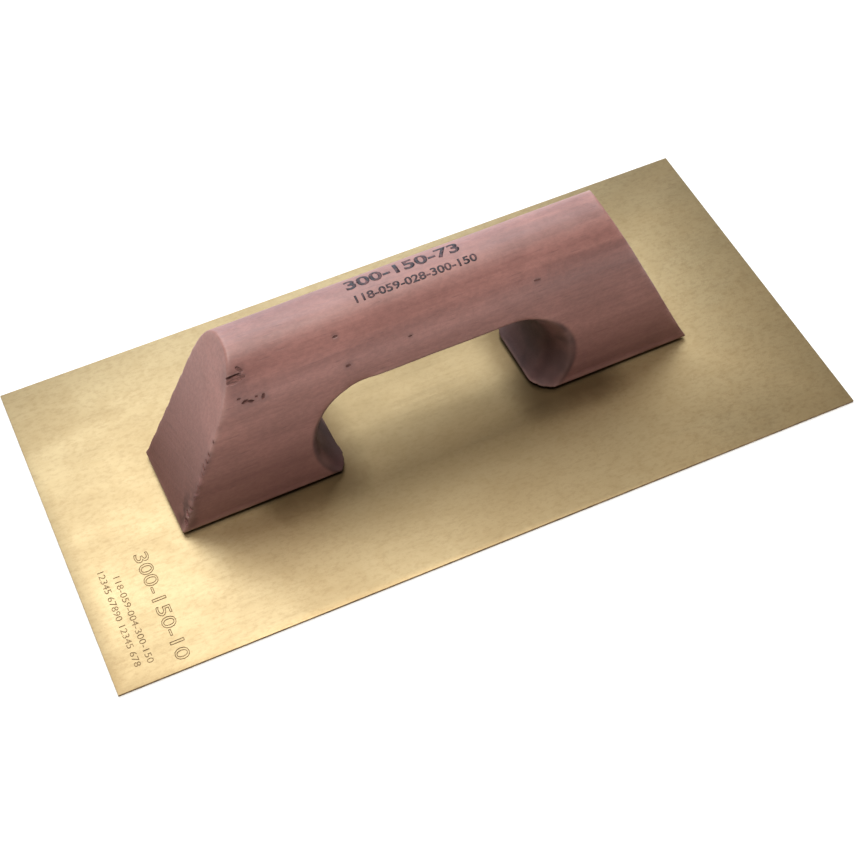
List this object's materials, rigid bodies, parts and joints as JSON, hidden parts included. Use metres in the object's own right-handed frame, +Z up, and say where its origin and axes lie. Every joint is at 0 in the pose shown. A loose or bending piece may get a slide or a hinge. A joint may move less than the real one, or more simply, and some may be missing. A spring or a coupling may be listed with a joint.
{
  "type": "plastering trowel",
  "caption": "Flat rectangular trowel: thin bronze sheet blade with a one-piece wooden bridge handle, for spreading and smoothing plaster.",
  "frame": {"origin": "centre of the blade's working face, which is the lowest plane of the tool", "axes": "+X along the blade from heel to toe, +Y to the back, +Z up from the blade through the handle"},
  "size_m": [0.3, 0.15, 0.0726],
  "materials": {
    "blade_bronze": "cold rolled, lightly brushed along the length",
    "plate_bronze": "dull, as sheared",
    "handle_wood": "stained reddish brown, sanded, satin",
    "screw_brass": "turned, dull"
  },
  "bodies": {
    "root": {"blade": "blade_bronze", "heel_backing_plate": "plate_bronze", "toe_backing_plate": "plate_bronze", "handle": "handle_wood", "heel_outer_screw": "screw_brass", "heel_inner_screw": "screw_brass", "toe_inner_screw": "screw_brass", "toe_outer_screw": "screw_brass"}
  },
  "joints": []
}
